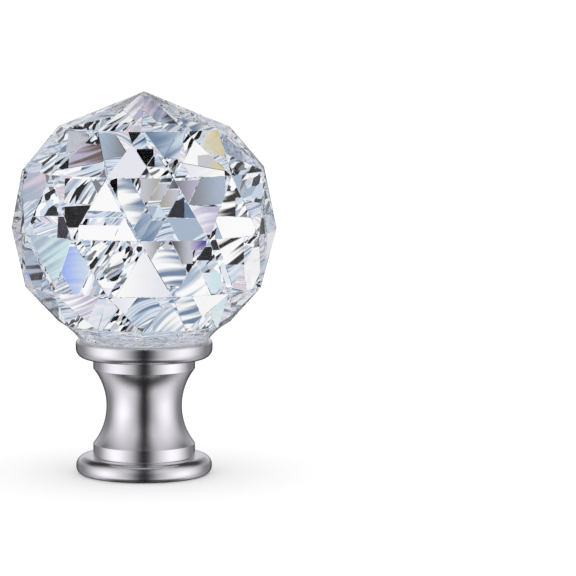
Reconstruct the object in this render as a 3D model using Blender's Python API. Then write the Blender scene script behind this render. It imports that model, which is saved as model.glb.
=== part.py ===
"""Lamp shade finial: a faceted crystal ball seated in the rim of a turned metal stem.

Metres, +Z up. The origin is the middle of the underside, on the axis of the stem.
Radii are measured from that axis.
"""
import math

import bmesh
import bpy

# Metal stem: base flange, lower collar, waist, upper collar and rim, from the underside up
FLANGE_RADIUS = 0.00758
FLANGE_THICKNESS = 0.00197
FLANGE_LOWER_ROUND = 0.00074
FLANGE_UPPER_ROUND = 0.00105
COLLAR_RADIUS = 0.00568
LOWER_COLLAR_HEIGHT = 0.00136
WAIST_RADIUS = 0.00421
WAIST_HEIGHT = 0.00847
UPPER_COLLAR_HEIGHT = 0.0012
RIM_THICKNESS = 0.00203
RIM_LOWER_ROUND = 0.00105
LIP_WIDTH = 0.00032
SEAT_DEPTH = 0.0008

# Hole for the lamp harp's threaded stud, plain at the thread's outer diameter
STUD_RADIUS = 0.003175
STUD_CLEARANCE = 0.000025
HOLE_DEPTH = 0.0085
HOLE_CHAMFER = 0.0004
DRILL_POINT_ANGLE = math.radians(118)

# Crystal ball: rings of corners, by height above or below the girdle and by radius
SIDES = 12
BALL_TURN = math.radians(-1.87)
APEX_RISE = 0.0152
CROWN_RING_RISE = 0.01133
CROWN_RING_RADIUS = 0.00949
SHOULDER_RING_RISE = 0.00666
SHOULDER_RING_RADIUS = 0.01375
GIRDLE_RADIUS = 0.0147
LOWER_RING_DROP = 0.00618
LOWER_RING_RADIUS = 0.01341
NECK_RING_DROP = 0.0104
NECK_RING_RADIUS = 0.00957

# Crystal neck and foot
NECK_HEIGHT = 0.002
NECK_HOLLOW = 0.00018
FOOT_RADIUS = 0.007
SEAT_GAP = 0.0003

# How finely round forms are divided
ROUND_STEPS = 48
FILLET_STEPS = 5
LIP_STEPS = 3
WAIST_STEPS = 14
NECK_STEPS = 5
SHARP_ANGLE = math.radians(28)
AXIS_MERGE = 1e-7

# Heights and radii that follow from the sizes above
lower_collar_top = FLANGE_THICKNESS + LOWER_COLLAR_HEIGHT
waist_top = lower_collar_top + WAIST_HEIGHT
rim_underside = waist_top + UPPER_COLLAR_HEIGHT
rim_top = rim_underside + RIM_THICKNESS
seat_floor = rim_top - SEAT_DEPTH
seat_radius = FOOT_RADIUS + SEAT_GAP
rim_radius = seat_radius + LIP_WIDTH
hole_radius = STUD_RADIUS + STUD_CLEARANCE
hole_tip = HOLE_DEPTH + hole_radius / math.tan(DRILL_POINT_ANGLE / 2)
foot_underside = seat_floor + SEAT_GAP
neck_ring_height = rim_top + NECK_HEIGHT
girdle_height = neck_ring_height + NECK_RING_DROP


def clear_scene():
    for leftover in list(bpy.data.objects):
        bpy.data.objects.remove(leftover, do_unlink=True)


def arc(centre, radius, start_degrees, end_degrees, steps):
    """Points (radius, height) along a circular arc, both ends included."""
    points = []
    for step in range(steps + 1):
        angle = math.radians(start_degrees + (end_degrees - start_degrees) * step / steps)
        points.append((centre[0] + radius * math.cos(angle), centre[1] + radius * math.sin(angle)))
    return points


def hollow_arc(start, end, depth, steps):
    """Points of the arc from start to end that sinks by depth to the left of their chord."""
    chord_r = end[0] - start[0]
    chord_z = end[1] - start[1]
    length = math.hypot(chord_r, chord_z)
    radius = ((length / 2) ** 2 + depth ** 2) / (2 * depth)
    left = (-chord_z / length, chord_r / length)
    half_angle = math.asin(length / 2 / radius)
    points = []
    for step in range(steps + 1):
        angle = half_angle * (2 * step / steps - 1)
        along = length / 2 + radius * math.sin(angle)
        sink = depth - radius * (1 - math.cos(angle))
        share = along / length
        points.append((start[0] + share * chord_r + sink * left[0],
                       start[1] + share * chord_z + sink * left[1]))
    return points


def stem_profile():
    """Outline of the metal stem, from the drill point up the outside to the seat's middle."""
    hole = [(0, hole_tip), (hole_radius, HOLE_DEPTH), (hole_radius, HOLE_CHAMFER)]
    mouth = [(hole_radius + HOLE_CHAMFER, 0)]
    flange = arc((FLANGE_RADIUS - FLANGE_LOWER_ROUND, FLANGE_LOWER_ROUND), FLANGE_LOWER_ROUND,
                 -90, 0, FILLET_STEPS)
    flange += arc((FLANGE_RADIUS - FLANGE_UPPER_ROUND, FLANGE_THICKNESS - FLANGE_UPPER_ROUND),
                  FLANGE_UPPER_ROUND, 0, 90, FILLET_STEPS)
    lower_collar = [(COLLAR_RADIUS, FLANGE_THICKNESS)]
    waist = hollow_arc((COLLAR_RADIUS, lower_collar_top), (COLLAR_RADIUS, waist_top),
                       COLLAR_RADIUS - WAIST_RADIUS, WAIST_STEPS)
    upper_collar = [(COLLAR_RADIUS, rim_underside)]
    rim = arc((rim_radius - RIM_LOWER_ROUND, rim_underside + RIM_LOWER_ROUND), RIM_LOWER_ROUND,
              -90, 0, FILLET_STEPS)
    rim += arc((rim_radius - LIP_WIDTH, rim_top - LIP_WIDTH), LIP_WIDTH, 0, 90, LIP_STEPS)
    seat = [(seat_radius, seat_floor), (0, seat_floor)]
    return hole + mouth + flange + lower_collar + waist + upper_collar + rim + seat


def turned_mesh(name, profile):
    """Turn a profile of (radius, height) points about the axis into one closed mesh."""
    turned = bmesh.new()
    corners = [turned.verts.new((radius, 0, height)) for radius, height in profile]
    edges = [turned.edges.new(pair) for pair in zip(corners, corners[1:])]
    bmesh.ops.spin(turned, geom=corners + edges, cent=(0, 0, 0), axis=(0, 0, 1),
                   angle=2 * math.pi, steps=ROUND_STEPS, use_merge=True)
    bmesh.ops.remove_doubles(turned, verts=turned.verts, dist=AXIS_MERGE)
    bmesh.ops.recalc_face_normals(turned, faces=turned.faces)
    mesh = bpy.data.meshes.new(name)
    turned.to_mesh(mesh)
    turned.free()
    return mesh


def corner_ring(crystal, radius, height, turn):
    """The corners of one ring of the ball."""
    ring = []
    for side in range(SIDES):
        angle = BALL_TURN + turn + 2 * math.pi * side / SIDES
        ring.append(crystal.verts.new((radius * math.sin(angle), -radius * math.cos(angle), height)))
    return ring


def facet_band(crystal, upper, lower, lower_leads):
    """Triangles between two rings whose corners are half a side apart."""
    for side in range(SIDES):
        following = (side + 1) % SIDES
        if lower_leads:
            crystal.faces.new((upper[side], lower[side], upper[following]))
            crystal.faces.new((lower[side], lower[following], upper[following]))
        else:
            crystal.faces.new((upper[side], lower[side], lower[following]))
            crystal.faces.new((upper[side], lower[following], upper[following]))


def neck_rows(crystal):
    """Rows of points from the neck ring, a polygon, down to the foot, a circle."""
    per_side = ROUND_STEPS // SIDES
    profile = hollow_arc((FOOT_RADIUS, rim_top), (NECK_RING_RADIUS, neck_ring_height),
                         NECK_HOLLOW, NECK_STEPS)
    profile.reverse()
    profile.append((FOOT_RADIUS, foot_underside))
    rows = []
    for index, (radius, height) in enumerate(profile):
        roundness = min(index / NECK_STEPS, 1)
        row = []
        for step in range(ROUND_STEPS):
            angle = BALL_TURN + 2 * math.pi * step / ROUND_STEPS
            from_middle = 2 * math.pi * (step % per_side) / ROUND_STEPS - math.pi / SIDES
            flat = math.cos(math.pi / SIDES) / math.cos(from_middle)
            reach = radius * (flat + (1 - flat) * roundness)
            row.append(crystal.verts.new((reach * math.sin(angle), -reach * math.cos(angle), height)))
        rows.append(row)
    return rows


def join_rows(crystal, upper, lower):
    for step in range(ROUND_STEPS):
        following = (step + 1) % ROUND_STEPS
        face = crystal.faces.new((upper[step], lower[step], lower[following], upper[following]))
        face.smooth = True


def last_band(crystal, upper, neck_row):
    """Facets between the lowest offset ring and the neck ring, whose sides are divided."""
    per_side = ROUND_STEPS // SIDES
    for side in range(SIDES):
        first = (side * per_side) % ROUND_STEPS
        for step in range(first, first + per_side):
            crystal.faces.new((upper[side], neck_row[step], neck_row[(step + 1) % ROUND_STEPS]))
        next_corner = neck_row[(first + per_side) % ROUND_STEPS]
        crystal.faces.new((upper[side], next_corner, upper[(side + 1) % SIDES]))


def crystal_mesh(name):
    """The faceted ball with its round neck and foot, one solid."""
    half_side = math.pi / SIDES
    crystal = bmesh.new()
    apex = crystal.verts.new((0, 0, girdle_height + APEX_RISE))
    crown = corner_ring(crystal, CROWN_RING_RADIUS, girdle_height + CROWN_RING_RISE, 0)
    shoulder = corner_ring(crystal, SHOULDER_RING_RADIUS, girdle_height + SHOULDER_RING_RISE, half_side)
    girdle = corner_ring(crystal, GIRDLE_RADIUS, girdle_height, 0)
    lower = corner_ring(crystal, LOWER_RING_RADIUS, girdle_height - LOWER_RING_DROP, half_side)
    rows = neck_rows(crystal)
    for side in range(SIDES):
        crystal.faces.new((apex, crown[side], crown[(side + 1) % SIDES]))
    facet_band(crystal, crown, shoulder, True)
    facet_band(crystal, shoulder, girdle, False)
    facet_band(crystal, girdle, lower, True)
    last_band(crystal, lower, rows[0])
    for upper_row, lower_row in zip(rows, rows[1:]):
        join_rows(crystal, upper_row, lower_row)
    crystal.faces.new(list(reversed(rows[-1])))
    bmesh.ops.recalc_face_normals(crystal, faces=crystal.faces)
    mesh = bpy.data.meshes.new(name)
    crystal.to_mesh(mesh)
    crystal.free()
    return mesh


def principled(name, colour, metallic, roughness):
    material = bpy.data.materials.new(name)
    material.use_nodes = True
    shader = material.node_tree.nodes["Principled BSDF"]
    shader.inputs["Base Color"].default_value = (*colour, 1)
    shader.inputs["Metallic"].default_value = metallic
    shader.inputs["Roughness"].default_value = roughness
    return material


def satin_nickel():
    return principled("satin_nickel", (0.62, 0.61, 0.6), 1, 0.24)


def clear_crystal():
    material = principled("clear_crystal", (0.96, 0.97, 1), 0, 0.01)
    shader = material.node_tree.nodes["Principled BSDF"]
    shader.inputs["Transmission Weight"].default_value = 1
    shader.inputs["IOR"].default_value = 1.52
    return material


def place(name, mesh, material):
    piece = bpy.data.objects.new(name, mesh)
    mesh.materials.append(material)
    bpy.context.scene.collection.objects.link(piece)
    return piece


def build_stem():
    mesh = turned_mesh("metal_stem", stem_profile())
    mesh.shade_smooth()
    mesh.set_sharp_from_angle(angle=SHARP_ANGLE)
    return place("metal_stem", mesh, satin_nickel())


def build_crystal():
    return place("crystal_ball", crystal_mesh("crystal_ball"), clear_crystal())


clear_scene()
build_stem()
build_crystal()
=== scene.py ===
"""Looks of the lamp shade finial: a cut crystal ball on a satin nickel stem, in a pale studio."""
import math

import bmesh
import bpy
from mathutils import Matrix, Vector


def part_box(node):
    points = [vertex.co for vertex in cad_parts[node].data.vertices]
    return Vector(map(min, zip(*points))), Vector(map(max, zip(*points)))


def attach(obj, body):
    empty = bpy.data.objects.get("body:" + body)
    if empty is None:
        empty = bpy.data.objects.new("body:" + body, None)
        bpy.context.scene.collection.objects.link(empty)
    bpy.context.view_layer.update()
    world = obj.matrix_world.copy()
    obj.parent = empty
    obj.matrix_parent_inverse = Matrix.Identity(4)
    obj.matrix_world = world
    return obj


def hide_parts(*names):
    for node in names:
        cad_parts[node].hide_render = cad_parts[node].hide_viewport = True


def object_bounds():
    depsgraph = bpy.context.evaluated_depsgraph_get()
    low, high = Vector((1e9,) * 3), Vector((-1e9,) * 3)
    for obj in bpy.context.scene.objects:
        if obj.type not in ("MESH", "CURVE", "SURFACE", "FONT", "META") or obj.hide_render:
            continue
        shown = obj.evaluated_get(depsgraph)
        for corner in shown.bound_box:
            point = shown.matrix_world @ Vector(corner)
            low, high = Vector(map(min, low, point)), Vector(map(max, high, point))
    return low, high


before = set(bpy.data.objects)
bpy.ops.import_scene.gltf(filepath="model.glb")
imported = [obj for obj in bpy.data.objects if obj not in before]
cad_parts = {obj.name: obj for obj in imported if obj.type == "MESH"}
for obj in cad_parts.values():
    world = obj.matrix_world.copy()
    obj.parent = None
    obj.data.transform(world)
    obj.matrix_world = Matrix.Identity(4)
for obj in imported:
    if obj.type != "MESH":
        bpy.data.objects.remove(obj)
cad_low, cad_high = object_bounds()

# The photograph: where the stem's axis stands in it, and how large the object is there
IMAGE_SIDE = 576
AXIS_COLUMN = 144.2
PIXELS_PER_METRE = 8987
VIEW_DISTANCE = 0.352
VIEW_TILT = math.radians(6.72)
LOOK_HEIGHT = 0.02075
SENSOR_WIDTH = 36
NEAREST_SEEN = 0.01
FARTHEST_SEEN = 50

# Metal stem, from the underside up
FLANGE_RADIUS = 0.00758
FLANGE_THICKNESS = 0.00197
FLANGE_LOWER_ROUND = 0.00074
FLANGE_UPPER_ROUND = 0.00105
COLLAR_RADIUS = 0.00568
LOWER_COLLAR_HEIGHT = 0.00136
WAIST_RADIUS = 0.00421
WAIST_HEIGHT = 0.00847
UPPER_COLLAR_HEIGHT = 0.0012
RIM_RADIUS = 0.00762
RIM_THICKNESS = 0.00203
RIM_LOWER_ROUND = 0.00105
RIM_UPPER_ROUND = 0.00042
SEAT_DEPTH = 0.0008
EDGE_BREAK = 0.00007
INNER_FILLET = 0.00009

# Tapped hole in the underside, for the standard harp stud of 27 threads to the inch
THREAD_RADIUS = 0.0032
THREAD_PITCH = 0.0254 / 27
THREAD_DEPTH = 0.00047
THREAD_FLATS = 0.125
THREAD_LENGTH = 0.0081
HOLE_DEPTH = 0.0085
HOLE_CHAMFER = 0.0004
DRILL_POINT_ANGLE = math.radians(118)

# Crystal ball: rings of corners, by height above or below the girdle and by radius
SIDES = 12
BALL_TURN = math.radians(-1.87)
APEX_RISE = 0.0152
CROWN_RING_RISE = 0.01133
CROWN_RING_RADIUS = 0.00949
SHOULDER_RING_RISE = 0.00666
SHOULDER_RING_RADIUS = 0.01375
GIRDLE_RADIUS = 0.0147
LOWER_RING_DROP = 0.00618
LOWER_RING_RADIUS = 0.01341
NECK_RING_DROP = 0.0104
NECK_RING_RADIUS = 0.00957
FACET_EDGE = 0.00003

# Crystal neck and foot
NECK_HOLLOW = 0.00018
NECK_ROUNDING = 0.6
FOOT_RADIUS = 0.00714
FOOT_GAP = 0.00003

# How finely round forms are divided
STEM_STEPS = 192
NECK_STEPS = 192
NECK_ROWS = 16
WAIST_STEPS = 40
FILLET_STEPS = 8
THREAD_ROWS_PER_TURN = 12
CARD_STEPS = 24
DOME_SUBDIVISIONS = 5
FLOOR_STEPS = 64
SMOOTH_BELOW = math.radians(30)

# Finishes: waves, marks and clouds are counted to the metre, and depths are in metres
CRYSTAL_IOR = 1.454
CRYSTAL_SHINE = (0.4, 0.4, 0.4, 1)
POLISH_WAVES = 180
POLISH_DEPTH = 0.0000004
POLISH_DETAIL = 1
NECK_WAVES = 260
NECK_WAVE_DEPTH = 0.0002
NECK_WAVE_FADE = 0.0006
NICKEL_DARK = (0.6, 0.595, 0.59)
NICKEL_LIGHT = (0.68, 0.675, 0.67)
NICKEL_ROUGHNESS = (0.16, 0.2)
NICKEL_CLOUDS = 260
CLOUD_DETAIL = 3
CLOUD_ROUGHNESS = 0.015
TURNING_MARKS = 9000
TURNING_DEPTH = 0.0000006
TURNING_DETAIL = 2
NOISE_SPREAD = (0.3, 0.7)

# Room
FLOOR_COLOUR = (0.95, 0.95, 0.95, 1)
FLOOR_RADIUS = 8
FLOOR_DROP = 0.00002
WORLD_STRENGTH = 1.2
GLASS_BOUNCES = 32
MIRROR_BOUNCES = 24

# Colours of light
WHITE = (1, 1, 1)
BLACK = (0, 0, 0)
DARK_GREY = (0.03, 0.03, 0.04)
MID_GREY = (0.22, 0.22, 0.24)
BROWN_GREY = (0.16, 0.11, 0.1)
STEEL_BLUE = (0.17, 0.25, 0.38)
HAZE_BLUE = (0.4, 0.49, 0.61)
ICE_BLUE = (0.64, 0.74, 0.85)
AQUA = (0.62, 0.8, 0.83)
PALE_WHITE = (0.84, 0.84, 0.91)
PALE_GREY = (0.58, 0.59, 0.65)
OLIVE_GREY = (0.42, 0.4, 0.34)
LILAC = (0.52, 0.48, 0.64)
BLUSH = (0.8, 0.64, 0.74)
PERIWINKLE = (0.3, 0.41, 0.92)
PALE_YELLOW = (0.7, 0.62, 0.36)
VIOLET = (0.1, 0.07, 0.32)

# Surround that the crystal gathers its light from: pale silk hung close round it, cut in shards
GATHER_DISTANCE = 0.1
GATHER_STRENGTH = 0.95
SHARD_COUNT = 16
STREAK_COUNTS = (8, 100)
STREAK_DETAIL = 1
STREAK_TURN = math.radians(23)
STREAK_OTHER_TURN = math.radians(-30)
SPLINTER_COUNTS = (60, 210)
SPLINTER_TURN = math.radians(50)
BEND_COUNT = 6
BEND_DEPTH = 0.12
STREAKS_COOL = ((0, DARK_GREY), (0.12, STEEL_BLUE), (0.25, ICE_BLUE), (0.38, PALE_WHITE),
                (0.46, HAZE_BLUE), (0.54, ICE_BLUE), (0.66, PALE_WHITE), (0.76, STEEL_BLUE),
                (0.88, HAZE_BLUE), (1, WHITE))
STREAKS_WARM = ((0, PALE_GREY), (0.2, WHITE), (0.35, PALE_WHITE), (0.48, BLUSH), (0.6, PALE_GREY),
                (0.7, WHITE), (0.82, HAZE_BLUE), (0.92, STEEL_BLUE), (1, DARK_GREY))
SPLINTER_COLOURS = ((0, BLACK), (0.18, DARK_GREY), (0.24, MID_GREY), (0.32, HAZE_BLUE), (0.4, PALE_GREY),
                    (0.5, ICE_BLUE), (0.6, PALE_WHITE), (0.7, WHITE))
TINT_SHARE = ((0, BLACK), (0.6, WHITE))
CALM_COLOURS = ((0, BLACK), (0.1, MID_GREY), (0.22, STEEL_BLUE), (0.34, HAZE_BLUE), (0.5, PALE_GREY),
                (0.64, ICE_BLUE), (0.8, WHITE))
STREAK_SHARE = ((0, BLACK), (0.3, WHITE))
SPLINTER_SHARE = ((0, BLACK), (0.65, WHITE))

# Cards hung before it, nearly all behind the ball, in each list from the farthest to the nearest
SPLINTER_CARDS_AT = 0.99
CRYSTAL_CARDS_AT = 0.97
CARD_SPACING = 0.001
CRYSTAL_CARDS = (
    # Azimuth, elevation, width and height in degrees, colour at its right, at its left, how streaked
    (169.5, -5.6, 4.2, 3.6, WHITE, WHITE, 0),
    (174.5, -1.2, 3, 3.4, WHITE, WHITE, 0),
    (174.5, -20, 5, 7, PALE_WHITE, PALE_WHITE, 0),
    (180, 5.2, 4.4, 3.8, PALE_WHITE, WHITE, 0),
    (205.2, -3.8, 3.6, 3.2, WHITE, WHITE, 0),
    (222.8, 7.8, 4, 6, WHITE, WHITE, 0),
    (174.4, 13.6, 3, 3, WHITE, PALE_WHITE, 0),
    (196.6, -19.1, 4, 2.6, WHITE, PALE_WHITE, 0.6),
    (185.2, 1.6, 3, 3, STEEL_BLUE, WHITE, 1.5),
    (191.2, 6, 3, 3, WHITE, HAZE_BLUE, 1.5),
    (192, 19.5, 3, 3, STEEL_BLUE, WHITE, 1.5),
    (161.8, 16.2, 4, 3, LILAC, WHITE, 1.5),
    (174.6, -8.6, 2.4, 5, STEEL_BLUE, WHITE, 1.5),
    (197, -7.3, 2.6, 3, LILAC, PALE_WHITE, 1.2),
    (137.8, -13.5, 4, 4, BLUSH, HAZE_BLUE, 1),
    (174.8, -54.8, 4, 4, LILAC, WHITE, 1.5),
    (187.8, -54.4, 4, 4, STEEL_BLUE, BLUSH, 1.2),
    (203.6, -40, 5, 5, WHITE, STEEL_BLUE, 1.5),
    (192.4, -35.4, 3, 2, STEEL_BLUE, WHITE, 1.5),
    (197.8, -43.7, 3, 3, DARK_GREY, HAZE_BLUE, 1.8),
    (163, 3.4, 3.2, 4, ICE_BLUE, PERIWINKLE, 0.3),
    (154.2, 0.8, 4, 5, AQUA, HAZE_BLUE, 1.2),
    (197.2, 2.2, 2, 1.8, AQUA, PALE_WHITE, 0.6),
    (210.2, 23.5, 3, 4, AQUA, WHITE, 0.8),
    (168.3, 18.4, 3, 4.4, ICE_BLUE, PALE_WHITE, 1.5),
    (185.2, 21.4, 3, 2, WHITE, HAZE_BLUE, 1.5),
    (36.5, -11.3, 1.2, 3, DARK_GREY, STEEL_BLUE, 2.5),
    (12.4, -20.7, 3, 3, WHITE, DARK_GREY, 2.5),
    (-34.7, -33.5, 3, 3, WHITE, STEEL_BLUE, 2.5),
    (180.4, -4.6, 3, 2.2, HAZE_BLUE, STEEL_BLUE, 0.5),
    (185.4, -29.4, 3, 3, HAZE_BLUE, STEEL_BLUE, 0.8),
    (192.8, -24.8, 3, 3.4, ICE_BLUE, STEEL_BLUE, 0.8),
    (230.5, -32.6, 3, 4, STEEL_BLUE, HAZE_BLUE, 0.8),
    (168, -25.3, 3, 3, MID_GREY, HAZE_BLUE, 0),
    (162, -24.4, 3.4, 3, BROWN_GREY, LILAC, 1.5),
    (197.5, -10.4, 3.4, 2.4, HAZE_BLUE, MID_GREY, 0),
    (191.6, -13.8, 2.6, 1.8, LILAC, MID_GREY, 0),
    (179.2, -12.9, 2, 2, OLIVE_GREY, PALE_GREY, 0),
    (185.1, -9.6, 1.6, 1.4, PALE_GREY, OLIVE_GREY, 0),
    (180.7, -0.3, 2.6, 2, MID_GREY, PALE_WHITE, 0),
    (190.6, -0.2, 2, 2.4, PALE_GREY, DARK_GREY, 0),
    (209.6, -30, 3.4, 3.4, PALE_YELLOW, PALE_WHITE, 0.3),
    (197.4, -24.6, 2.4, 2.2, PALE_YELLOW, PALE_GREY, 0.5),
    (151.4, -31, 3, 3, BROWN_GREY, PALE_GREY, 1),
    (189.1, 0.3, 1.3, 1.1, VIOLET, LILAC, 0.6),
    (163.2, -7.4, 2.8, 2.2, BLACK, BLACK, 0),
    (153.3, -4.2, 1.6, 2, DARK_GREY, DARK_GREY, 0),
    (180, -26, 1.6, 1.8, BLACK, BLACK, 0),
    (187, -22, 1.2, 1.4, BLACK, DARK_GREY, 0),
    (191.2, -7.3, 1.6, 1.8, DARK_GREY, DARK_GREY, 0),
    (184.6, -8.2, 1.4, 1, DARK_GREY, MID_GREY, 0),
    (198.3, 4.8, 3, 1.4, BLACK, DARK_GREY, 0.5),
    (206.5, -7.8, 1.6, 2.4, BLACK, WHITE, 2.5),
    (206, 0.9, 2.4, 2.4, BLACK, WHITE, 2.5),
    (137.6, 8.4, 3, 4, BLACK, HAZE_BLUE, 2),
    (131.5, 27.4, 3, 4, BLACK, HAZE_BLUE, 2),
    (224.2, -0.4, 2, 1.8, DARK_GREY, MID_GREY, 0),
)
SPLINTER_CARDS = (
    # Azimuth, elevation, width and height in degrees
    (174.6, 2.3, 2.2, 2.8),
    (169.3, -0.6, 2.2, 2.4),
    (154.4, -8, 2.6, 3),
    (162.4, -10.7, 2.6, 2),
    (216.5, -24.2, 3, 3),
    (158.2, -41, 4, 3),
    (130.3, -51.6, 4, 4),
    (164.2, -43.6, 4, 3),
    (162.8, -68, 8, 4),
    (158.8, 28, 3, 3),
    (174.5, 21.2, 4, 2),
    (201.3, 26.7, 4, 3),
)

# What the metal mirrors: a surround, cards from the farthest to the nearest, and a strip over the top
METAL_DISTANCE = 3
METAL_CARDS_AT = 0.98
METAL_CARD_SPACING = 0.02
DARK_STRIP_AT = 0.8
HARD_EDGE = 0.001
METAL_LIGHT = (0.965, 0.95, 1.02)
SURROUND_STRENGTH = 0.74
METAL_CARDS = (
    # Azimuth, elevation, width and height in degrees, strength, softness across and up
    (0, -7, 360, 84, 0.3, 0, 0.4),
    (180, -36, 84, 72, 0.02, 0.4, 0.1),
    (180, 9, 110, 16, 1, 0.5, 0.5),
    (180, 48, 240, 66, 0.05, 0.3, 0.3),
    (-67, -7, 128, 150, 1.6, 0.5, 0.5),
    (67, -7, 128, 150, 1.6, 0.5, 0.5),
    (0, -66, 360, 48, 0.12, 0, 0.5),
)
DARK_STRIP = (0, -7, 52, 260, 0.02, 0.5, 0.1)

# Heights that follow from the sizes above
lower_collar_top = FLANGE_THICKNESS + LOWER_COLLAR_HEIGHT
waist_top = lower_collar_top + WAIST_HEIGHT
rim_underside = waist_top + UPPER_COLLAR_HEIGHT
rim_top = rim_underside + RIM_THICKNESS
seat_floor = rim_top - SEAT_DEPTH
seat_radius = FOOT_RADIUS + FOOT_GAP
girdle_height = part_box("crystal_ball")[1].z - APEX_RISE
neck_ring_height = girdle_height - NECK_RING_DROP
hole_tip = HOLE_DEPTH + THREAD_RADIUS / math.tan(DRILL_POINT_ANGLE / 2)


def hollow_arc(start, end, depth, steps):
    """Points of the arc from start to end that sinks by depth to the left of their chord."""
    chord = Vector(end) - Vector(start)
    left = Vector((-chord.y, chord.x)).normalized()
    half = chord.length / 2
    radius = (half ** 2 + depth ** 2) / (2 * depth)
    half_angle = math.asin(half / radius)
    points = []
    for step in range(steps + 1):
        angle = half_angle * (2 * step / steps - 1)
        along = 0.5 + radius * math.sin(angle) / (2 * half)
        sink = depth - radius * (1 - math.cos(angle))
        points.append(tuple(Vector(start) + chord * along + left * sink))
    return points


def fillet(before, corner, after, radius):
    """Points of the arc that rounds a corner between two straight stretches."""
    corner = Vector(corner)
    back = (Vector(before) - corner).normalized()
    ahead = (Vector(after) - corner).normalized()
    half = back.angle(ahead) / 2
    centre = corner + (back + ahead).normalized() * radius / math.sin(half)
    start = (corner + back * radius / math.tan(half) - centre).normalized()
    end = (corner + ahead * radius / math.tan(half) - centre).normalized()
    points = []
    for step in range(FILLET_STEPS + 1):
        points.append(tuple(centre + start.slerp(end, step / FILLET_STEPS) * radius))
    return points


def rounded(outline):
    """An outline of (radius, height, rounding) corners as plain points, each corner rounded."""
    points = []
    for index, (radius, height, rounding) in enumerate(outline):
        if rounding:
            before = outline[index - 1][:2]
            after = outline[index + 1][:2]
            points += fillet(before, (radius, height), after, rounding)
        else:
            points.append((radius, height))
    return points


def stem_outline():
    """The stem's outside, from the hole's mouth up to the middle of the seat."""
    waist = hollow_arc((COLLAR_RADIUS, lower_collar_top), (COLLAR_RADIUS, waist_top),
                       COLLAR_RADIUS - WAIST_RADIUS, WAIST_STEPS)
    outline = [(THREAD_RADIUS + HOLE_CHAMFER, 0, 0),
               (FLANGE_RADIUS, 0, FLANGE_LOWER_ROUND),
               (FLANGE_RADIUS, FLANGE_THICKNESS, FLANGE_UPPER_ROUND),
               (COLLAR_RADIUS, FLANGE_THICKNESS, INNER_FILLET),
               (COLLAR_RADIUS, lower_collar_top, EDGE_BREAK)]
    outline += [(radius, height, 0) for radius, height in waist[1:-1]]
    outline += [(COLLAR_RADIUS, waist_top, EDGE_BREAK),
                (COLLAR_RADIUS, rim_underside, INNER_FILLET),
                (RIM_RADIUS, rim_underside, RIM_LOWER_ROUND),
                (RIM_RADIUS, rim_top, RIM_UPPER_ROUND),
                (seat_radius, rim_top, 0),
                (seat_radius, seat_floor, 0),
                (0, seat_floor, 0)]
    return rounded(outline)


def thread_rows():
    """Rows of the tapped hole's wall as (height, share of the thread's depth), from the top down."""
    count = round(THREAD_LENGTH / THREAD_PITCH * THREAD_ROWS_PER_TURN)
    rows = []
    for index in range(count, -1, -1):
        share = index / count
        height = HOLE_CHAMFER + (THREAD_LENGTH - HOLE_CHAMFER) * share
        fade = min(1, share * count / THREAD_ROWS_PER_TURN, (1 - share) * count / THREAD_ROWS_PER_TURN)
        rows.append((height, fade))
    return rows


def thread_radius(height, angle, fade):
    """Radius of the tapped wall: a right-hand V thread with flattened crests and roots."""
    turn = height / THREAD_PITCH - angle / (2 * math.pi)
    wave = abs(2 * (turn - math.floor(turn)) - 1)
    ridge = min(max((1 + 2 * THREAD_FLATS) * wave - THREAD_FLATS, 0), 1)
    return THREAD_RADIUS - THREAD_DEPTH * ridge * fade


def ring_points(radius_at, height, steps, turn=0):
    """Points round the axis at one height, their radius a function of the angle from the camera."""
    points = []
    for step in range(steps):
        angle = turn + 2 * math.pi * step / steps
        radius = radius_at(angle)
        points.append((radius * math.sin(angle), -radius * math.cos(angle), height))
    return points


def add_ring(solid, points):
    return [solid.verts.new(point) for point in points]


def join_rings(solid, first, second):
    """Smooth quads between two rings of as many points."""
    count = len(first)
    for step in range(count):
        following = (step + 1) % count
        face = solid.faces.new((first[step], second[step], second[following], first[following]))
        face.smooth = True


def cap_ring(solid, ring, centre):
    """Smooth triangles from a ring to a point on the axis."""
    middle = solid.verts.new(centre)
    for step, corner in enumerate(ring):
        face = solid.faces.new((middle, corner, ring[(step + 1) % len(ring)]))
        face.smooth = True


def mesh_object(name, solid, material):
    """A finished mesh as an object in the scene."""
    mesh = bpy.data.meshes.new(name)
    solid.to_mesh(mesh)
    solid.free()
    mesh.materials.append(material)
    thing = bpy.data.objects.new(name, mesh)
    bpy.context.scene.collection.objects.link(thing)
    return thing


def stem_piece(material):
    """The turned stem with its rounded edges and the thread in its underside, one closed mesh."""
    solid = bmesh.new()
    rings = [add_ring(solid, ring_points(lambda angle: THREAD_RADIUS, HOLE_DEPTH, STEM_STEPS))]
    for height, fade in thread_rows():
        wall = ring_points(lambda angle: thread_radius(height, angle, fade), height, STEM_STEPS)
        rings.append(add_ring(solid, wall))
    outline = stem_outline()
    for radius, height in outline[:-1]:
        rings.append(add_ring(solid, ring_points(lambda angle: radius, height, STEM_STEPS)))
    cap_ring(solid, rings[0], (0, 0, hole_tip))
    for first, second in zip(rings, rings[1:]):
        join_rings(solid, first, second)
    cap_ring(solid, rings[-1], (0, 0, outline[-1][1]))
    bmesh.ops.recalc_face_normals(solid, faces=solid.faces)
    piece = mesh_object("turned_stem", solid, material)
    piece.data.set_sharp_from_angle(angle=SMOOTH_BELOW)
    return piece


def corner_ring(solid, radius, height, turn):
    return add_ring(solid, ring_points(lambda angle: radius, height, SIDES, BALL_TURN + turn))


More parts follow.
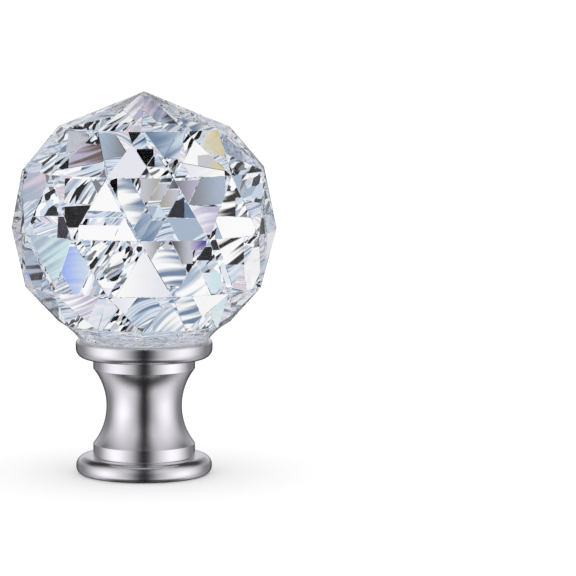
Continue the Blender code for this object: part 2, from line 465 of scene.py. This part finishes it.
def facet_band(solid, upper, lower, lower_leads):
    """Triangles between two rings whose corners are half a side apart."""
    for side in range(SIDES):
        following = (side + 1) % SIDES
        if lower_leads:
            solid.faces.new((upper[side], lower[side], upper[following]))
            solid.faces.new((lower[side], lower[following], upper[following]))
        else:
            solid.faces.new((upper[side], lower[side], lower[following]))
            solid.faces.new((upper[side], lower[following], upper[following]))


def last_band(solid, upper, neck_ring):
    """Facets down to the neck ring, whose sides are divided as finely as the round neck."""
    per_side = NECK_STEPS // SIDES
    for side in range(SIDES):
        first = side * per_side
        base = [neck_ring[(first + step) % NECK_STEPS] for step in range(per_side + 1)]
        solid.faces.new([upper[side]] + base)
        solid.faces.new((upper[side], base[-1], upper[(side + 1) % SIDES]))


def neck_reach(radius, roundness):
    """Radius by angle of a ring that is a polygon at roundness 0 and a circle at roundness 1."""
    side_angle = 2 * math.pi / SIDES

    def reach(angle):
        from_middle = (angle - BALL_TURN) % side_angle - side_angle / 2
        flat = math.cos(side_angle / 2) / math.cos(from_middle)
        return radius * (flat + (1 - flat) * roundness)

    return reach


def neck_rings(solid):
    """Rings of the polished neck, from the facets' lower edge down to the foot."""
    profile = hollow_arc((FOOT_RADIUS, rim_top), (NECK_RING_RADIUS, neck_ring_height),
                         NECK_HOLLOW, NECK_ROWS)
    profile.reverse()
    profile.append((FOOT_RADIUS, seat_floor + FOOT_GAP + EDGE_BREAK))
    profile.append((FOOT_RADIUS - EDGE_BREAK, seat_floor + FOOT_GAP))
    rings = []
    for index, (radius, height) in enumerate(profile):
        roundness = min(index / NECK_ROWS, 1) ** NECK_ROUNDING
        points = ring_points(neck_reach(radius, roundness), height, NECK_STEPS, BALL_TURN)
        rings.append(add_ring(solid, points))
    return rings


def crystal_piece(material):
    """The cut ball with its neck and foot: flat facets, narrow polished edges, one closed mesh."""
    half_side = math.pi / SIDES
    solid = bmesh.new()
    apex = solid.verts.new((0, 0, girdle_height + APEX_RISE))
    crown = corner_ring(solid, CROWN_RING_RADIUS, girdle_height + CROWN_RING_RISE, 0)
    shoulder = corner_ring(solid, SHOULDER_RING_RADIUS, girdle_height + SHOULDER_RING_RISE, half_side)
    girdle = corner_ring(solid, GIRDLE_RADIUS, girdle_height, 0)
    lower = corner_ring(solid, LOWER_RING_RADIUS, girdle_height - LOWER_RING_DROP, half_side)
    rings = neck_rings(solid)
    for side in range(SIDES):
        solid.faces.new((apex, crown[side], crown[(side + 1) % SIDES]))
    facet_band(solid, crown, shoulder, True)
    facet_band(solid, shoulder, girdle, False)
    facet_band(solid, girdle, lower, True)
    last_band(solid, lower, rings[0])
    cut_edges = [edge for edge in solid.edges if len(edge.link_faces) == 2]
    for first, second in zip(rings, rings[1:]):
        join_rings(solid, first, second)
    cap_ring(solid, rings[-1], (0, 0, seat_floor + FOOT_GAP))
    bmesh.ops.recalc_face_normals(solid, faces=solid.faces)
    bmesh.ops.bevel(solid, geom=cut_edges, offset=FACET_EDGE, offset_type="OFFSET",
                    segments=1, profile=0.5, affect="EDGES", clamp_overlap=True)
    bmesh.ops.recalc_face_normals(solid, faces=solid.faces)
    return mesh_object("cut_crystal", solid, material)


def new_material(name):
    """A material with its Principled shader and node tree."""
    material = bpy.data.materials.new(name)
    material.use_nodes = True
    return material, material.node_tree, material.node_tree.nodes["Principled BSDF"]


def math_node(tree, operation, first, second=0.0, clamp=False):
    """One sum on two numbers, each a value or another node's output."""
    node = tree.nodes.new("ShaderNodeMath")
    node.operation = operation
    node.use_clamp = clamp
    for socket, value in zip(node.inputs, (first, second)):
        if isinstance(value, bpy.types.NodeSocket):
            tree.links.new(value, socket)
        else:
            socket.default_value = value
    return node.outputs[0]


def noise_node(tree, vector, scale, detail):
    node = tree.nodes.new("ShaderNodeTexNoise")
    node.inputs["Scale"].default_value = scale
    node.inputs["Detail"].default_value = detail
    tree.links.new(vector, node.inputs["Vector"])
    return node.outputs["Fac"]


def ranged(tree, value, start, end, low, high, interpolation="LINEAR"):
    """A value from start to end, brought to the range low to high."""
    node = tree.nodes.new("ShaderNodeMapRange")
    node.interpolation_type = interpolation
    for name, number in (("From Min", start), ("From Max", end), ("To Min", low), ("To Max", high)):
        node.inputs[name].default_value = number
    tree.links.new(value, node.inputs["Value"])
    return node.outputs["Result"]


def mapped(tree, noise, low, high):
    """Noise, brought from its usual spread to the range low to high."""
    return ranged(tree, noise, *NOISE_SPREAD, low, high)


def xyz_of(tree, vector):
    """A vector's three numbers, by the names X, Y and Z."""
    node = tree.nodes.new("ShaderNodeSeparateXYZ")
    tree.links.new(vector, node.inputs[0])
    return node.outputs


def mixed(tree, share, first, second):
    """Two colours mixed by a share, each a plain value or another node's output."""
    node = tree.nodes.new("ShaderNodeMix")
    node.data_type = "RGBA"
    for socket, value in ((node.inputs["A"], first), (node.inputs["B"], second)):
        if isinstance(value, bpy.types.NodeSocket):
            tree.links.new(value, socket)
        else:
            socket.default_value = (*value, 1)
    tree.links.new(share, node.inputs["Factor"])
    return node.outputs["Result"]


def bump_node(tree, height, depth):
    """Relief whose height is counted in depths, and a depth in metres."""
    node = tree.nodes.new("ShaderNodeBump")
    node.inputs["Strength"].default_value = 1
    node.inputs["Distance"].default_value = depth
    tree.links.new(height, node.inputs["Height"])
    return node.outputs["Normal"]


def object_vector(tree):
    return tree.nodes.new("ShaderNodeTexCoord").outputs["Object"]


def turned_vector(tree):
    """Coordinates that are the same all the way round the axis: radius as X, height as Z."""
    place = xyz_of(tree, object_vector(tree))
    across = math_node(tree, "MULTIPLY", place["X"], place["X"])
    along = math_node(tree, "MULTIPLY", place["Y"], place["Y"])
    together = tree.nodes.new("ShaderNodeCombineXYZ")
    radius = math_node(tree, "SQRT", math_node(tree, "ADD", across, along))
    tree.links.new(radius, together.inputs["X"])
    tree.links.new(place["Z"], together.inputs["Z"])
    return together.outputs[0]


def crystal_material():
    """Clear crystal: flat polished facets, and a neck whose polish is a little wavy."""
    material, tree, shader = new_material("clear_crystal")
    shader.inputs["Base Color"].default_value = (1, 1, 1, 1)
    shader.inputs["Roughness"].default_value = 0
    shader.inputs["IOR"].default_value = CRYSTAL_IOR
    shader.inputs["Specular Tint"].default_value = CRYSTAL_SHINE
    shader.inputs["Transmission Weight"].default_value = 1
    place = object_vector(tree)
    facet_waves = noise_node(tree, place, POLISH_WAVES, POLISH_DETAIL)
    facets = math_node(tree, "MULTIPLY", facet_waves, POLISH_DEPTH)
    neck_depth = ranged(tree, xyz_of(tree, place)["Z"], neck_ring_height - NECK_WAVE_FADE,
                        neck_ring_height, NECK_WAVE_DEPTH, 0)
    neck = math_node(tree, "MULTIPLY", noise_node(tree, place, NECK_WAVES, POLISH_DETAIL), neck_depth)
    polish = math_node(tree, "ADD", facets, neck)
    tree.links.new(bump_node(tree, polish, 1), shader.inputs["Normal"])
    return material


def nickel_material():
    """Satin nickel plate: fine turning marks round the axis and a soft, uneven sheen."""
    material, tree, shader = new_material("satin_nickel")
    shader.inputs["Metallic"].default_value = 1
    clouds = noise_node(tree, object_vector(tree), NICKEL_CLOUDS, CLOUD_DETAIL)
    tint = mixed(tree, mapped(tree, clouds, 0, 1), NICKEL_DARK, NICKEL_LIGHT)
    tree.links.new(tint, shader.inputs["Base Color"])
    marks = noise_node(tree, turned_vector(tree), TURNING_MARKS, TURNING_DETAIL)
    uneven = mapped(tree, clouds, -CLOUD_ROUGHNESS, CLOUD_ROUGHNESS)
    sheen = math_node(tree, "ADD", uneven, mapped(tree, marks, *NICKEL_ROUGHNESS))
    tree.links.new(sheen, shader.inputs["Roughness"])
    tree.links.new(bump_node(tree, marks, TURNING_DEPTH), shader.inputs["Normal"])
    return material


def floor_material():
    """Matt and plain, so that the floor comes out as pale as the room."""
    material, _, shader = new_material("pale_floor")
    shader.inputs["Base Color"].default_value = FLOOR_COLOUR
    shader.inputs["Roughness"].default_value = 1
    shader.inputs["Specular IOR Level"].default_value = 0
    return material


def glow_material(name, colour, strength):
    """Even light of one colour, which nodes linked to its Emission may vary."""
    material = bpy.data.materials.new(name)
    material.use_nodes = True
    tree = material.node_tree
    tree.nodes.remove(tree.nodes["Principled BSDF"])
    light = tree.nodes.new("ShaderNodeEmission")
    light.inputs["Color"].default_value = (*colour, 1)
    light.inputs["Strength"].default_value = strength
    tree.links.new(light.outputs[0], tree.nodes["Material Output"].inputs["Surface"])
    return material


def card_place(tree):
    """Where on a card, from 0 to 1: X across it, Y up."""
    return xyz_of(tree, tree.nodes.new("ShaderNodeTexCoord").outputs["UV"])


def soft_material(name, strength, soft_across, soft_up):
    """Light that fades out towards the card's edges."""
    material = glow_material(name, METAL_LIGHT, strength)
    tree = material.node_tree
    place = card_place(tree)
    fade = 1.0
    for axis, softness in (("X", soft_across), ("Y", soft_up)):
        off_middle = math_node(tree, "ABSOLUTE", math_node(tree, "SUBTRACT", place[axis], 0.5))
        inside = math_node(tree, "SUBTRACT", 0.5, off_middle)
        step = ranged(tree, inside, 0, max(softness, HARD_EDGE), 0, 1, "SMOOTHSTEP")
        fade = math_node(tree, "MULTIPLY", step, fade)
    mix = tree.nodes.new("ShaderNodeMixShader")
    tree.links.new(fade, mix.inputs["Fac"])
    tree.links.new(tree.nodes.new("ShaderNodeBsdfTransparent").outputs[0], mix.inputs[1])
    tree.links.new(tree.nodes["Emission"].outputs[0], mix.inputs[2])
    tree.links.new(mix.outputs[0], tree.nodes["Material Output"].inputs["Surface"])
    return material


def hang(thing, rays, height):
    """Hangs a card or dome of the studio, which only reflections, or only light through glass, meet."""
    thing.location.z = height
    thing.visible_camera = False
    thing.visible_diffuse = False
    thing.visible_shadow = False
    thing.visible_volume_scatter = False
    thing.visible_glossy = rays == "glossy"
    thing.visible_transmission = rays == "transmission"


def card_ray(side, rise):
    """Direction by azimuth and elevation."""
    return Vector((math.sin(side) * math.cos(rise), -math.cos(side) * math.cos(rise), math.sin(rise)))


def strip_ray(side, rise):
    """Direction on a strip of even width that runs over the top."""
    return Vector((math.sin(side), -math.cos(side) * math.cos(rise), math.cos(side) * math.sin(rise)))


def add_card(name, rays, place, material, distance, centre, ray_at=card_ray):
    """A curved card, placed by degrees: azimuth 0 is towards the camera, 90 to its right."""
    azimuth, elevation, width, height = place
    solid = bmesh.new()
    uv = solid.loops.layers.uv.new("UVMap")
    steps = CARD_STEPS
    grid = {}
    for across in range(steps + 1):
        for up in range(steps + 1):
            side = math.radians(azimuth + width * (across / steps - 0.5))
            rise = math.radians(elevation + height * (up / steps - 0.5))
            grid[across, up] = solid.verts.new(ray_at(side, rise) * distance)
    for across in range(steps):
        for up in range(steps):
            corners = [(across, up), (across + 1, up), (across + 1, up + 1), (across, up + 1)]
            face = solid.faces.new([grid[corner] for corner in corners])
            for loop, corner in zip(face.loops, corners):
                loop[uv].uv = (corner[0] / steps, corner[1] / steps)
    hang(mesh_object(name, solid, material), rays, centre)


def colour_ramp(tree, value, stops, interpolation="EASE"):
    """Colours at places from 0 to 1."""
    node = tree.nodes.new("ShaderNodeValToRGB")
    node.color_ramp.interpolation = interpolation
    elements = node.color_ramp.elements
    while len(elements) < len(stops):
        elements.new(1)
    for element, (place, colour) in zip(elements, stops):
        element.position = place
        element.color = (*colour, 1)
    tree.links.new(value, node.inputs["Fac"])
    return node.outputs["Color"]


def vector_sum(tree, operation, first, second=(0, 0, 0)):
    """One sum on two vectors, each a plain value or another node's output."""
    node = tree.nodes.new("ShaderNodeVectorMath")
    node.operation = operation
    for socket, value in zip(node.inputs, (first, second)):
        if isinstance(value, bpy.types.NodeSocket):
            tree.links.new(value, socket)
        else:
            socket.default_value = value
    return node.outputs[0]


def turned_away(tree):
    """Coordinates in radians round the ball's middle: sideways from its far side, then up."""
    ray = xyz_of(tree, vector_sum(tree, "NORMALIZE", object_vector(tree)))
    together = tree.nodes.new("ShaderNodeCombineXYZ")
    tree.links.new(math_node(tree, "ARCTAN2", ray["X"], ray["Y"]), together.inputs["X"])
    tree.links.new(math_node(tree, "ARCSINE", ray["Z"]), together.inputs["Y"])
    return together.outputs[0]


def drawn_out(tree, counts, turn):
    """Coordinates in which a texture comes out long one way, so many to the radian, and bends."""
    along, across = counts
    place = turned_away(tree)
    bends = tree.nodes.new("ShaderNodeTexNoise")
    bends.inputs["Scale"].default_value = BEND_COUNT
    bends.inputs["Detail"].default_value = 0
    tree.links.new(place, bends.inputs["Vector"])
    bent = vector_sum(tree, "MULTIPLY", bends.outputs["Color"], (BEND_DEPTH,) * 3)
    laid = tree.nodes.new("ShaderNodeMapping")
    laid.vector_type = "TEXTURE"
    laid.inputs["Rotation"].default_value = (0, 0, turn)
    laid.inputs["Scale"].default_value = (1 / along, 1 / across, 1)
    tree.links.new(vector_sum(tree, "ADD", place, bent), laid.inputs["Vector"])
    return laid.outputs[0]


def streaks(tree, turn):
    """Streaks that run one way, from 0 to 1."""
    return mapped(tree, noise_node(tree, drawn_out(tree, STREAK_COUNTS, turn), 1, STREAK_DETAIL), 0, 1)


def splinters(tree):
    """Long thin chips, each in one colour."""
    chips = tree.nodes.new("ShaderNodeTexVoronoi")
    chips.inputs["Scale"].default_value = 1
    tree.links.new(drawn_out(tree, SPLINTER_COUNTS, SPLINTER_TURN), chips.inputs["Vector"])
    lot = tree.nodes.new("ShaderNodeSeparateColor")
    tree.links.new(chips.outputs["Color"], lot.inputs[0])
    return colour_ramp(tree, lot.outputs["Red"], SPLINTER_COLOURS, "CONSTANT")


def silk_card_material(name, right, left, sheen, strength):
    """Streaked light that runs from one colour at a card's right, as the ball sees it, to another."""
    material = glow_material(name, right, strength)
    tree = material.node_tree
    run = streaks(tree, STREAK_TURN)
    wander = math_node(tree, "MULTIPLY", math_node(tree, "SUBTRACT", run, 0.5), sheen)
    share = math_node(tree, "ADD", card_place(tree)["X"], wander, clamp=True)
    colour = colour_ramp(tree, share, ((0, right), (1, left)))
    tree.links.new(colour, tree.nodes["Emission"].inputs["Color"])
    return material


def splinter_card_material(name, strength):
    """Light in splinters all over."""
    material = glow_material(name, WHITE, strength)
    tree = material.node_tree
    tree.links.new(splinters(tree), tree.nodes["Emission"].inputs["Color"])
    return material


def shards_material(name, strength):
    """Pale silk cut in shards: some streaked, some in one colour, some covered in splinters."""
    material = glow_material(name, WHITE, strength)
    tree = material.node_tree
    shards = tree.nodes.new("ShaderNodeTexVoronoi")
    shards.inputs["Scale"].default_value = SHARD_COUNT
    tree.links.new(object_vector(tree), shards.inputs["Vector"])
    lot = tree.nodes.new("ShaderNodeSeparateColor")
    tree.links.new(shards.outputs["Color"], lot.inputs[0])
    cool = colour_ramp(tree, streaks(tree, STREAK_TURN), STREAKS_COOL)
    warm = colour_ramp(tree, streaks(tree, STREAK_OTHER_TURN), STREAKS_WARM)
    tint = colour_ramp(tree, lot.outputs["Green"], TINT_SHARE, "CONSTANT")
    streaked = mixed(tree, tint, cool, warm)
    calm = colour_ramp(tree, lot.outputs["Green"], CALM_COLOURS, "CONSTANT")
    share = colour_ramp(tree, lot.outputs["Red"], STREAK_SHARE, "CONSTANT")
    colour = mixed(tree, share, calm, streaked)
    splintered = colour_ramp(tree, lot.outputs["Blue"], SPLINTER_SHARE, "CONSTANT")
    colour = mixed(tree, splintered, colour, splinters(tree))
    tree.links.new(colour, tree.nodes["Emission"].inputs["Color"])
    return material


def add_dome(name, rays, material, radius, height):
    """A surround behind the cards, of radius 1 in its own units."""
    solid = bmesh.new()
    bmesh.ops.create_icosphere(solid, subdivisions=DOME_SUBDIVISIONS, radius=1)
    dome = mesh_object(name, solid, material)
    dome.scale = (radius, radius, radius)
    hang(dome, rays, height)


def add_metal_studio():
    """What the metal mirrors."""
    surround = glow_material("metal_surround", METAL_LIGHT, SURROUND_STRENGTH)
    add_dome("metal_surround", "glossy", surround, METAL_DISTANCE, LOOK_HEIGHT)
    for index, (*place, strength, soft_across, soft_up) in enumerate(METAL_CARDS):
        name = f"metal_card_{index}"
        material = soft_material(name, strength, soft_across, soft_up)
        distance = METAL_DISTANCE * (METAL_CARDS_AT - METAL_CARD_SPACING * index)
        add_card(name, "glossy", place, material, distance, LOOK_HEIGHT)
    *place, strength, soft_across, soft_up = DARK_STRIP
    material = soft_material("dark_strip", strength, soft_across, soft_up)
    distance = METAL_DISTANCE * DARK_STRIP_AT
    add_card("dark_strip", "glossy", place, material, distance, LOOK_HEIGHT, strip_ray)


def add_crystal_studio():
    """What the crystal gathers."""
    surround = shards_material("crystal_surround", GATHER_STRENGTH)
    add_dome("crystal_surround", "transmission", surround, GATHER_DISTANCE, girdle_height)
    for index, place in enumerate(SPLINTER_CARDS):
        name = f"splinter_card_{index}"
        material = splinter_card_material(name, GATHER_STRENGTH)
        distance = GATHER_DISTANCE * (SPLINTER_CARDS_AT - CARD_SPACING * index)
        add_card(name, "transmission", place, material, distance, girdle_height)
    for index, (*place, right, left, sheen) in enumerate(CRYSTAL_CARDS):
        name = f"crystal_card_{index}"
        material = silk_card_material(name, right, left, sheen, GATHER_STRENGTH)
        distance = GATHER_DISTANCE * (CRYSTAL_CARDS_AT - CARD_SPACING * index)
        add_card(name, "transmission", place, material, distance, girdle_height)


def add_floor():
    """A wide round floor just under the flange."""
    solid = bmesh.new()
    bmesh.ops.create_circle(solid, cap_ends=True, radius=FLOOR_RADIUS, segments=FLOOR_STEPS)
    floor = mesh_object("floor", solid, floor_material())
    floor.location.z = cad_low.z - FLOOR_DROP
    floor.visible_glossy = False
    floor.visible_transmission = False


def add_world():
    """White light from all round."""
    world = bpy.data.worlds.new("studio")
    world.use_nodes = True
    background = world.node_tree.nodes["Background"]
    background.inputs["Color"].default_value = (1, 1, 1, 1)
    background.inputs["Strength"].default_value = WORLD_STRENGTH
    bpy.context.scene.world = world


def add_camera():
    """The photograph's camera: tilted down at the stem, then panned so that it stands at its column."""
    focal_pixels = PIXELS_PER_METRE * VIEW_DISTANCE
    pan = math.atan((IMAGE_SIDE / 2 - AXIS_COLUMN) / focal_pixels)
    data = bpy.data.cameras.new("camera")
    data.sensor_width = SENSOR_WIDTH
    data.lens = SENSOR_WIDTH * focal_pixels / IMAGE_SIDE
    data.clip_start = NEAREST_SEEN
    data.clip_end = FARTHEST_SEEN
    camera = bpy.data.objects.new("camera", data)
    back = Vector((0, -math.cos(VIEW_TILT), math.sin(VIEW_TILT)))
    place = Matrix.Translation(Vector((0, 0, LOOK_HEIGHT)) + back * VIEW_DISTANCE)
    tilt = Matrix.Rotation(math.pi / 2 - VIEW_TILT, 4, "X")
    camera.matrix_world = place @ tilt @ Matrix.Rotation(-pan, 4, "Y")
    bpy.context.scene.collection.objects.link(camera)
    bpy.context.scene.camera = camera


def main():
    scene = bpy.context.scene
    scene.view_settings.view_transform = "Standard"
    scene.cycles.max_bounces = GLASS_BOUNCES
    scene.cycles.transmission_bounces = GLASS_BOUNCES
    scene.cycles.glossy_bounces = MIRROR_BOUNCES
    add_world()
    add_floor()
    add_camera()
    add_metal_studio()
    add_crystal_studio()
    crystal = crystal_piece(crystal_material())
    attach(crystal, "root")
    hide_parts("crystal_ball")
    stem = stem_piece(nickel_material())
    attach(stem, "root")
    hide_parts("metal_stem")


main()
